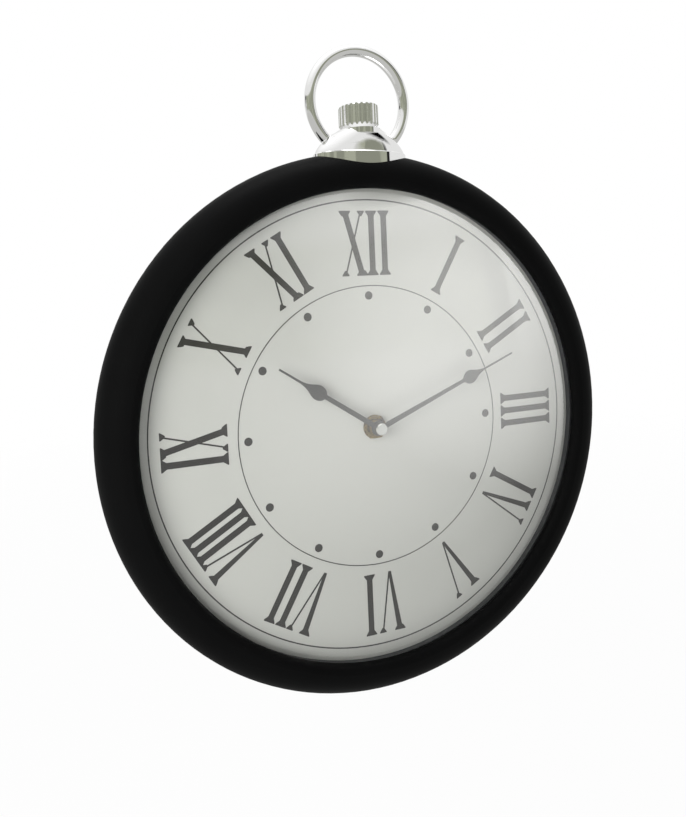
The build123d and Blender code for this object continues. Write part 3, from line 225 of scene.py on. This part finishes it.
def glass():
    """Clear glass: light passes straight through, both faces reflect, a trace of dust."""
    material, tree, output = empty_material("domed_glass")
    facing = add_node(tree, "ShaderNodeNewGeometry").outputs["Backfacing"]
    fresnel = add_node(tree, "ShaderNodeFresnel", {"IOR": GLASS_IOR}).outputs[0]
    both_faces = math_node(tree, "MULTIPLY", fresnel, BOTH_FACES, True)
    front = math_node(tree, "MULTIPLY", both_faces, math_node(tree, "SUBTRACT", 1.0, facing))
    gloss = map_range(tree, noise(tree, 30, 5.0, 0.65), 0.35, 0.75, 0.0, 0.035)
    clear = add_node(tree, "ShaderNodeBsdfTransparent", {"Color": GLASS_TINT})
    mirror = add_node(tree, "ShaderNodeBsdfGlossy", {"Color": WHITE, "Roughness": gloss})
    pane = add_node(tree, "ShaderNodeMixShader", {0: front, 1: clear.outputs[0],
                                                  2: mirror.outputs[0]})
    dust = add_node(tree, "ShaderNodeBsdfDiffuse", {"Color": DUST})
    specks = map_range(tree, noise(tree, 900, 3.0, 0.8), 0.68, 0.8, 0.002, 0.05)
    film = math_node(tree, "MULTIPLY", specks, map_range(tree, noise(tree, 22), 0.4, 0.65))
    whole = add_node(tree, "ShaderNodeMixShader", {0: film, 1: pane.outputs[0],
                                                   2: dust.outputs[0]})
    tree.links.new(whole.outputs[0], output.inputs["Surface"])
    return material


# painted shade: darker copper for the crevices between the coil's wire turns
WIRE_GAP_SHADE = (0.16, 0.05, 0.02)
COPPER_UNDER_MASK = (0.10, 0.24, 0.07)
SLEEVE_SHOULDER = 0.27          # share of the battery's length that is copper-coloured
SLEEVE_COPPER = (0.62, 0.33, 0.12)
BATTERY_CAP = 1.3 * MM
BATTERY_STEEL = (0.62, 0.61, 0.58)
BAND_EDGE = 0.1 * MM
INK_VOID = (0.5, 0.5, 0.48)


def winding_gap_shade(tree, base):
    """Painted shade: darker gaps between the turns of the coil's wire, where shade falls."""
    place = add_node(tree, "ShaderNodeTexCoord").outputs["Object"]
    turns = add_node(tree, "ShaderNodeTexWave", {"Vector": place, "Scale": 900.0,
                                                "Distortion": 0.6, "Detail": 2.0},
                     bands_direction="X").outputs[1]
    return blend_colour(tree, turns, WIRE_GAP_SHADE, base)


def board_traces(tree, base):
    """Lighter copper tracks that show through the green mask of the board."""
    place = add_node(tree, "ShaderNodeTexCoord").outputs["Object"]
    cells = add_node(tree, "ShaderNodeTexVoronoi", {"Vector": place, "Scale": 420.0},
                     distance="CHEBYCHEV").outputs["Distance"]
    return blend_colour(tree, map_range(tree, cells, 0.42, 0.46), base, COPPER_UNDER_MASK)


def battery_bands(tree, base):
    """Coloured shoulder of the battery's sleeve at the positive end."""
    low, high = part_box("battery")
    place = add_node(tree, "ShaderNodeTexCoord").outputs["Object"]
    across = add_node(tree, "ShaderNodeSeparateXYZ", {0: place}).outputs["X"]
    shoulder = high.x - (high.x - low.x) * SLEEVE_SHOULDER
    cap = high.x - BATTERY_CAP
    banded = blend_colour(tree, map_range(tree, across, shoulder, shoulder + BAND_EDGE),
                          base, SLEEVE_COPPER)
    return blend_colour(tree, map_range(tree, across, cap, cap + BAND_EDGE),
                        banded, BATTERY_STEEL)


def print_density(tree, base):
    """Small voids and thin spots of screen-printed ink."""
    voids = map_range(tree, noise(tree, 2600, 4.0, 0.75), 0.66, 0.78, 0.0, 0.35)
    return blend_colour(tree, voids, base, INK_VOID)


def make_looks():
    """Material of every material slot in the record."""
    bare_steel = (0.62, 0.62, 0.60)
    return {
        "case_black": surface(
            "soft_touch_black", (0.0036, 0.0037, 0.0038), 0.5, specular=0.03, mottle=0.25,
            mottle_scale=35, smudge=0.07, smudge_scale=18, grain_scale=2600,
            grain=0.012 * MM),
        "glass_clear": glass(),
        "dial_white": surface(
            "satin_white_dial", (0.66, 0.66, 0.63), 0.42, specular=0.25, mottle=0.012,
            mottle_scale=14, smudge=0.05, grain_scale=4200, grain=0.004 * MM),
        "dial_ink": surface(
            "screen_ink", (0.026, 0.024, 0.023), 0.5, specular=0.35, mottle=0.3,
            mottle_scale=260, grain_scale=3600, grain=0.006 * MM, extra=print_density),
        "spacer_grey": surface(
            "dark_spacer", (0.075, 0.077, 0.082), 0.45, mottle=0.12, grain_scale=2200,
            grain=0.01 * MM),
        "seal_rubber": surface(
            "rubber", (0.018, 0.018, 0.018), 0.75, specular=0.3, mottle=0.25,
            grain_scale=1800, grain=0.02 * MM),
        "chrome_bright": surface(
            "polished_chrome", (0.90, 0.90, 0.895), 0.045, metallic=1.0, mottle=0.015,
            smudge=0.03, smudge_scale=110, grain_scale=700, grain=0.0006 * MM,
            scratches=0.0006 * MM),
        "hand_grey": surface(
            "gunmetal_hand", (0.045, 0.045, 0.045), 0.34, metallic=0.25, mottle=0.15,
            mottle_scale=300, smudge=0.06, grain_scale=2600, grain=0.004 * MM,
            edge=(0.15 * MM, (0.35, 0.34, 0.32), 0.25)),
        "brass_plain": surface(
            "turned_brass", (0.22, 0.15, 0.035), 0.26, metallic=1.0, mottle=0.22,
            mottle_scale=420, smudge=0.1, smudge_scale=300, grain_scale=1600,
            stretch=(1, 18, 1), grain=0.003 * MM, edge=(0.2 * MM, (0.85, 0.66, 0.36), 0.15)),
        "steel_zinc": surface(
            "zinc_plated_steel", bare_steel, 0.33, metallic=1.0, mottle=0.12,
            mottle_scale=350, smudge=0.1, smudge_scale=120, grain_scale=900,
            stretch=(14, 1, 1), grain=0.003 * MM, scratches=0.002 * MM,
            edge=(0.25 * MM, (0.75, 0.74, 0.70), 0.2)),
        "iron_bare": surface(
            "stamped_iron", (0.42, 0.42, 0.42), 0.38, metallic=1.0, mottle=0.15,
            mottle_scale=300, grain_scale=1100, stretch=(1, 1, 10), grain=0.003 * MM),
        "magnet_grey": surface(
            "sintered_magnet", (0.10, 0.10, 0.105), 0.5, metallic=0.6, mottle=0.2,
            mottle_scale=900, grain_scale=5000, grain=0.006 * MM),
        # the coil's colour carries painted shade in the gaps between the wire's turns
        "copper_wire": surface(
            "enamelled_copper", (0.72, 0.29, 0.12), 0.28, metallic=1.0, mottle=0.1,
            grain_scale=900, stretch=(6, 1, 1), grain=0.01 * MM, extra=winding_gap_shade),
        "cover_black": surface(
            "moulded_back", (0.014, 0.014, 0.015), 0.52, specular=0.4, mottle=0.2,
            mottle_scale=30, smudge=0.07, grain_scale=1300, grain=0.035 * MM,
            edge=(0.4 * MM, (0.05, 0.05, 0.052), 0.4)),
        "shell_black": surface(
            "movement_shell", (0.010, 0.010, 0.011), 0.42, specular=0.45, mottle=0.2,
            mottle_scale=90, smudge=0.08, grain_scale=2400, grain=0.02 * MM,
            edge=(0.3 * MM, (0.045, 0.045, 0.047), 0.35)),
        "plate_natural": surface(
            "natural_plate", (0.68, 0.66, 0.58), 0.45, mottle=0.05, mottle_scale=120,
            grain_scale=2200, grain=0.01 * MM),
        "wheel_natural": surface(
            "natural_wheel", (0.74, 0.73, 0.66), 0.38, mottle=0.05, mottle_scale=300,
            grain_scale=3000, grain=0.008 * MM, edge=(0.15 * MM, (0.82, 0.81, 0.75), 0.3)),
        "wheel_brass": surface(
            "cut_brass", (0.74, 0.53, 0.22), 0.22, metallic=1.0, mottle=0.1,
            mottle_scale=400, grain_scale=1400, stretch=(1, 16, 1), grain=0.003 * MM),
        "board_green": surface(
            "solder_mask", (0.012, 0.13, 0.045), 0.3, mottle=0.1, mottle_scale=150,
            grain_scale=3000, grain=0.006 * MM, extra=board_traces),
        "epoxy_black": surface(
            "epoxy_drop", (0.008, 0.008, 0.009), 0.2, mottle=0.2, mottle_scale=200,
            smudge=0.08, grain_scale=1200, grain=0.01 * MM),
        "battery_sleeve": surface(
            "battery_sleeve", (0.012, 0.012, 0.014), 0.26, mottle=0.12, mottle_scale=80,
            smudge=0.07, grain_scale=1500, grain=0.004 * MM, extra=battery_bands),
    }


def dress(looks):
    """Give every CAD node the material of its slot; return the slot of each node."""
    slot_of = {}
    for name, piece in nodes.items():
        slot_of[name] = piece.material_slots[0].material.name
        piece.material_slots[0].material = looks[slot_of[name]]
    return slot_of


# ---------------------------------------------------------------------------------- pieces
SHARP = math.radians(32)         # edges with a larger angle are sharp
COPLANAR = math.radians(0.5)     # faces with a smaller angle are one face
WELD = 0.0005 * MM
EDGE_STEPS = 2                   # facets across a rounded edge
ROUNDED = {                     # nodes whose edges catch the light, and the rounding of each
    "hour_hand": 0.07 * MM, "minute_hand": 0.07 * MM, "cap_nut": 0.15 * MM,
    "hex_nut": 0.12 * MM, "brass_washer": 0.06 * MM, "hanger_plate": 0.12 * MM,
}


def refine(node, look, width):
    """Replace a CAD node by a copy with its flat faces joined and its sharp edges rounded."""
    mesh = bpy.data.meshes.new(node + "_refined")
    form = bmesh.new()
    form.from_mesh(nodes[node].data)
    bmesh.ops.remove_doubles(form, verts=form.verts, dist=WELD)
    bmesh.ops.dissolve_limit(form, angle_limit=COPLANAR, verts=form.verts, edges=form.edges)
    sharp = [e for e in form.edges if len(e.link_faces) == 2 and e.calc_face_angle() > SHARP]
    bmesh.ops.bevel(form, geom=sharp, offset=width, segments=EDGE_STEPS, profile=0.5,
                    affect="EDGES", clamp_overlap=True)
    form.to_mesh(mesh)
    form.free()
    mesh.shade_smooth()
    mesh.set_sharp_from_angle(angle=SHARP)
    mesh.materials.clear()
    mesh.materials.append(look)
    piece = bpy.data.objects.new(node + "_refined", mesh)
    bpy.context.scene.collection.objects.link(piece)
    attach(piece, body_of_node(node))
    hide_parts(node)


PANE_RIM_R = 129.6 * MM         # where the dome meets its flat rim
PANE_RISE = 14.0 * MM           # of the dome over that rim
PANE_THICK = 2.4 * MM
PANE_RINGS = 72
PANE_STEPS = 256
PANE_CREASE = math.radians(5)   # between the steps of the dome and the edge of the rim


def lathe(name, profile, centre, steps):
    """Solid of revolution about the line through centre along Y.

    profile lists (radius, y) from one point on the axis to the other.
    """
    form = bmesh.new()
    rings = []
    for radius, y in profile:
        count = steps if radius > 0 else 1
        rings.append([form.verts.new((centre.x + radius * math.cos(math.tau * i / count), y,
                                      centre.z + radius * math.sin(math.tau * i / count)))
                      for i in range(count)])
    for near, far in zip(rings, rings[1:]):
        for i in range(steps):
            corners = [near[i % len(near)], near[(i + 1) % len(near)],
                       far[(i + 1) % len(far)], far[i % len(far)]]
            form.faces.new(list(dict.fromkeys(corners)))
    bmesh.ops.recalc_face_normals(form, faces=form.faces)
    mesh = bpy.data.meshes.new(name)
    form.to_mesh(mesh)
    form.free()
    piece = bpy.data.objects.new(name, mesh)
    bpy.context.scene.collection.objects.link(piece)
    return piece


def make_pane(look):
    """Domed glass as a smooth lathed solid, evenly curved up to its apex."""
    low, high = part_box("glass_dome")
    dome_r = (PANE_RIM_R**2 + PANE_RISE**2) / (2 * PANE_RISE)
    half_angle = math.asin(PANE_RIM_R / dome_r)
    angles = [half_angle * i / PANE_RINGS for i in range(PANE_RINGS + 1)]
    outer = [(dome_r * math.sin(a), low.y + dome_r * (1 - math.cos(a))) for a in angles]
    inner_r = dome_r - PANE_THICK
    inner = [(inner_r * math.sin(a), low.y + dome_r - inner_r * math.cos(a)) for a in angles]
    edge_r = (high.x - low.x) / 2
    rim = [(edge_r, outer[-1][1]), (edge_r, high.y), (inner[-1][0], high.y)]
    pane = lathe("glass_pane", outer + rim + inner[::-1], (low + high) / 2, PANE_STEPS)
    pane.data.shade_smooth()
    pane.data.set_sharp_from_angle(angle=PANE_CREASE)
    pane.data.materials.append(look)
    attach(pane, body_of_node("glass_dome"))
    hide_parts("glass_dome")
    return pane


# ----------------------------------------------------------------------- stage and lighting
FLOOR_GAP = 0.12                # between the lowest point of the case and the floor
FLOOR_HALF = 3.0
FLOOR_FADE = (0.3, 1.6)         # distances over which the floor fades into the white
FLOOR_GLOW = 0.97               # share of its own light in the floor's tone
BACKDROP = (1.0, 1.0, 1.0)      # as the camera sees it
AMBIENT = 0.22                  # even light on matt surfaces
# What chrome and glass see, by the height (sine of the elevation) and azimuth of a direction.
ROOM = (0.40, 0.415, 0.33)      # room in front and to the left
ROOM_SHADE = (0.27, 0.28, 0.225)
ROOM_EDGE = math.radians(52)    # azimuth at which the room ends with a dark upright edge
ROOM_TOP = (0.40, 0.35)
ROOM_FOOT = (0.06, -0.04)
ROOM_BACK = (0.15, 0.25)        # how far behind the clock's plane the room turns to clutter
THINGS_SCALE = 5.0
DARK = (0.015, 0.015, 0.015)
LOWER = (0.56, 0.56, 0.545)     # everything below the room
WALLS = (0.84, 0.84, 0.835)     # pale paper beside and above
CEILING = (1.1, 1.1, 1.1)
CEILING_FOOT = (0.55, 0.85)


def make_world():
    """White to the camera, even light to matt surfaces, a studio to the shiny ones."""
    world = bpy.data.worlds.new("studio")
    bpy.context.scene.world = world
    world.use_nodes = True
    tree = world.node_tree
    tree.nodes.clear()
    direction = add_node(tree, "ShaderNodeTexCoord").outputs["Generated"]
    parts = add_node(tree, "ShaderNodeSeparateXYZ", {0: direction})
    across = add_node(tree, "ShaderNodeVectorMath", {
        0: direction, 1: (math.cos(ROOM_EDGE), math.sin(ROOM_EDGE), 0)},
        operation="DOT_PRODUCT").outputs["Value"]
    above = map_range(tree, parts.outputs["Z"], *CEILING_FOOT)
    below = map_range(tree, parts.outputs["Z"], *ROOM_FOOT)
    low = math_node(tree, "SUBTRACT", map_range(tree, parts.outputs["Z"], *ROOM_TOP), below)
    room = math_node(tree, "MULTIPLY", low, map_range(tree, across, 0.02, -0.02))
    edge = math_node(tree, "MULTIPLY", low, map_range(
        tree, math_node(tree, "ABSOLUTE", across), 0.05, 0.03))
    behind = map_range(tree, parts.outputs["Y"], *ROOM_BACK)
    things = map_range(tree, add_node(tree, "ShaderNodeTexNoise", {
        "Vector": direction, "Scale": THINGS_SCALE, "Detail": 1.0}).outputs[0], 0.46, 0.54)
    furnished = blend_colour(tree, things, ROOM_SHADE, ROOM)
    clutter = blend_colour(tree, things, DARK, WALLS)
    studio = blend_colour(tree, room, WALLS, blend_colour(tree, behind, furnished, clutter))
    studio = blend_colour(tree, edge, studio, DARK)
    studio = blend_colour(tree, below, studio, LOWER)
    studio = blend_colour(tree, above, studio, CEILING)
    paths = add_node(tree, "ShaderNodeLightPath")
    colour = blend_colour(tree, paths.outputs["Is Glossy Ray"], (AMBIENT,) * 3, studio)
    colour = blend_colour(tree, paths.outputs["Is Camera Ray"], colour, BACKDROP)
    background = add_node(tree, "ShaderNodeBackground", {"Color": colour, "Strength": 1.0})
    output = add_node(tree, "ShaderNodeOutputWorld")
    tree.links.new(background.outputs[0], output.inputs[0])


def make_floor(height):
    """Pale floor that fades into the white backdrop away from the clock."""
    mesh = bpy.data.meshes.new("floor")
    h = FLOOR_HALF
    mesh.from_pydata([(-h, -h, 0), (h, -h, 0), (h, h, 0), (-h, h, 0)], [], [(0, 1, 2, 3)])
    floor = bpy.data.objects.new("floor", mesh)
    floor.location = (0, 0, height)
    bpy.context.scene.collection.objects.link(floor)
    floor.visible_glossy = False
    material, tree, output = empty_material("pale_floor")
    place = add_node(tree, "ShaderNodeTexCoord").outputs["Object"]
    far = add_node(tree, "ShaderNodeVectorMath", {0: place}, operation="LENGTH")
    fade = map_range(tree, far.outputs["Value"], *FLOOR_FADE)
    tone = blend_colour(tree, noise(tree, 3.0), (0.80, 0.80, 0.80), (0.83, 0.83, 0.825))
    paint = add_node(tree, "ShaderNodeBsdfDiffuse", {"Color": tone})
    glow = add_node(tree, "ShaderNodeEmission", {"Color": WHITE, "Strength": 1.0})
    lit = add_node(tree, "ShaderNodeMixShader", {0: FLOOR_GLOW, 1: paint.outputs[0],
                                                 2: glow.outputs[0]})
    clear = add_node(tree, "ShaderNodeBsdfTransparent")
    whole = add_node(tree, "ShaderNodeMixShader", {0: fade, 1: lit.outputs[0],
                                                   2: clear.outputs[0]})
    tree.links.new(whole.outputs[0], output.inputs["Surface"])
    mesh.materials.append(material)


def make_panel(name, centre, target, size, radiance, colour=(1.0, 1.0, 1.0), core=0.55,
               matt=True, shiny=True, only=None):
    """Soft-edged light that faces a target, seen by matt surfaces, shiny ones or both.

    core is the share of its half size that has full strength; only lists the pieces that it
    lights, if not all. A light of no radiance is a dark card in the reflections.
    """
    mesh = bpy.data.meshes.new(name)
    w, h = size[0] / 2, size[1] / 2
    mesh.from_pydata([(-w, -h, 0), (w, -h, 0), (w, h, 0), (-w, h, 0)], [], [(0, 1, 2, 3)])
    panel = bpy.data.objects.new(name, mesh)
    panel.rotation_mode = "QUATERNION"
    panel.rotation_quaternion = (Vector(target) - Vector(centre)).to_track_quat("Z", "Y")
    panel.location = centre
    bpy.context.scene.collection.objects.link(panel)
    panel.visible_camera = False
    panel.visible_shadow = False
    panel.visible_diffuse = matt
    panel.visible_glossy = shiny
    material, tree, output = empty_material(name)
    place = add_node(tree, "ShaderNodeTexCoord").outputs["Object"]
    scaled = add_node(tree, "ShaderNodeVectorMath", {0: place, 1: (1 / w, 1 / h, 1)},
                      operation="MULTIPLY")
    radius = add_node(tree, "ShaderNodeVectorMath", {0: scaled.outputs[0]}, operation="LENGTH")
    soft = map_range(tree, radius.outputs["Value"], 1.0, core)
    front = math_node(tree, "SUBTRACT", 1.0,
                      add_node(tree, "ShaderNodeNewGeometry").outputs["Backfacing"])
    shown = math_node(tree, "MULTIPLY", soft, front)
    strength = math_node(tree, "MULTIPLY", shown, radiance)
    emission = add_node(tree, "ShaderNodeEmission", {"Color": (*colour, 1),
                                                     "Strength": strength})
    behind = blend_colour(tree, shown, (1.0, 1.0, 1.0), (0.0, 0.0, 0.0))
    clear = add_node(tree, "ShaderNodeBsdfTransparent")
    if not only:
        tree.links.new(behind, clear.inputs["Color"])
    whole = add_node(tree, "ShaderNodeAddShader", {0: clear.outputs[0],
                                                   1: emission.outputs[0]})
    tree.links.new(whole.outputs[0], output.inputs["Surface"])
    if only:
        receivers = bpy.data.collections.new(name + "_receivers")
        for piece in only:
            receivers.objects.link(piece)
        panel.light_linking.receiver_collection = receivers
    mesh.materials.append(material)
    return panel


def around(centre, azimuth, elevation, distance):
    """Point at a distance from a centre; azimuth 0 is in front (-Y) and 90 to the right."""
    a, e = math.radians(azimuth), math.radians(elevation)
    back = Vector((math.sin(a) * math.cos(e), -math.cos(a) * math.cos(e), math.sin(e)))
    return Vector(centre) + back * distance


DAYLIGHT = (1.0, 0.995, 0.98)
LEFT_LIGHT = (1.0, 0.995, 0.985)


def make_lights(dial_centre, pendant_centre, pane):
    """Soft light on the dial from the left and above, windows in the glass, a card in the chrome."""
    make_panel("left_fill", around(dial_centre, azimuth=-56, elevation=11, distance=0.55),
               dial_centre, size=(0.45, 0.55), radiance=6.9, colour=LEFT_LIGHT, shiny=False)
    make_panel("top_fill", around(dial_centre, azimuth=0, elevation=90, distance=0.8),
               dial_centre, size=(0.8, 0.4), radiance=4.7)
    make_panel("right_window", around(dial_centre, azimuth=52, elevation=22, distance=1.3),
               dial_centre, size=(2.5, 2.5), radiance=3.5, colour=DAYLIGHT, core=0.15,
               matt=False, only=[pane])
    make_panel("front_window", around(dial_centre, azimuth=26, elevation=-6, distance=1.3),
               dial_centre, size=(1.9, 1.6), radiance=1.9, colour=DAYLIGHT, core=0.1,
               matt=False, only=[pane])
    make_panel("dark_card", around(pendant_centre, azimuth=48, elevation=30, distance=0.9),
               pendant_centre, size=(0.75, 0.2), radiance=0.0, matt=False)


# ---------------------------------------------------------------------------------- camera
CAMERA_DISTANCE = 0.378         # from the middle of the dial
CAMERA_AZIMUTH = -26.28
CAMERA_ELEVATION = 11.37
VIEW_AZIMUTH = -18.6            # direction of the optical axis
VIEW_ELEVATION = 4.001
VIEW_ROLL = 2.939
LENS = 29.519
SHIFT_X = 0.0765
SHIFT_Y = -0.0797
NEAR_CLIP = 0.01


def make_camera(dial_centre):
    """Camera to the left of the clock and a little above it, shifted as the crop is."""
    camera = bpy.data.objects.new("camera", bpy.data.cameras.new("camera"))
    bpy.context.scene.collection.objects.link(camera)
    back = around((0, 0, 0), VIEW_AZIMUTH, VIEW_ELEVATION, 1.0)
    right = Vector((0, 0, 1)).cross(back).normalized()
    up = back.cross(right)
    roll = math.radians(VIEW_ROLL)
    rolled_right = right * math.cos(roll) - up * math.sin(roll)
    rolled_up = right * math.sin(roll) + up * math.cos(roll)
    turn = Matrix((rolled_right, rolled_up, back)).transposed()
    place = around(dial_centre, CAMERA_AZIMUTH, CAMERA_ELEVATION, CAMERA_DISTANCE)
    camera.matrix_world = Matrix.LocRotScale(place, turn.to_quaternion(), None)
    camera.data.lens = LENS
    camera.data.shift_x = SHIFT_X
    camera.data.shift_y = SHIFT_Y
    camera.data.clip_start = NEAR_CLIP
    bpy.context.scene.camera = camera


# --------------------------------------------------------------------------------- assembly
dial_low, dial_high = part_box("dial_plate")
pendant_low, pendant_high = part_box("pendant")
dial_centre = Vector(((dial_low.x + dial_high.x) / 2, dial_low.y,
                      (dial_low.z + dial_high.z) / 2))
pendant_centre = (pendant_low + pendant_high) / 2

looks = make_looks()
slot_of = dress(looks)
pane = make_pane(looks["glass_clear"])
for node, rounding in ROUNDED.items():
    refine(node, looks[slot_of[node]], rounding)

make_world()
make_floor(cad_box[0].z - FLOOR_GAP)
make_lights(dial_centre, pendant_centre, pane)
make_camera(dial_centre)
bpy.context.scene.view_settings.view_transform = "Standard"
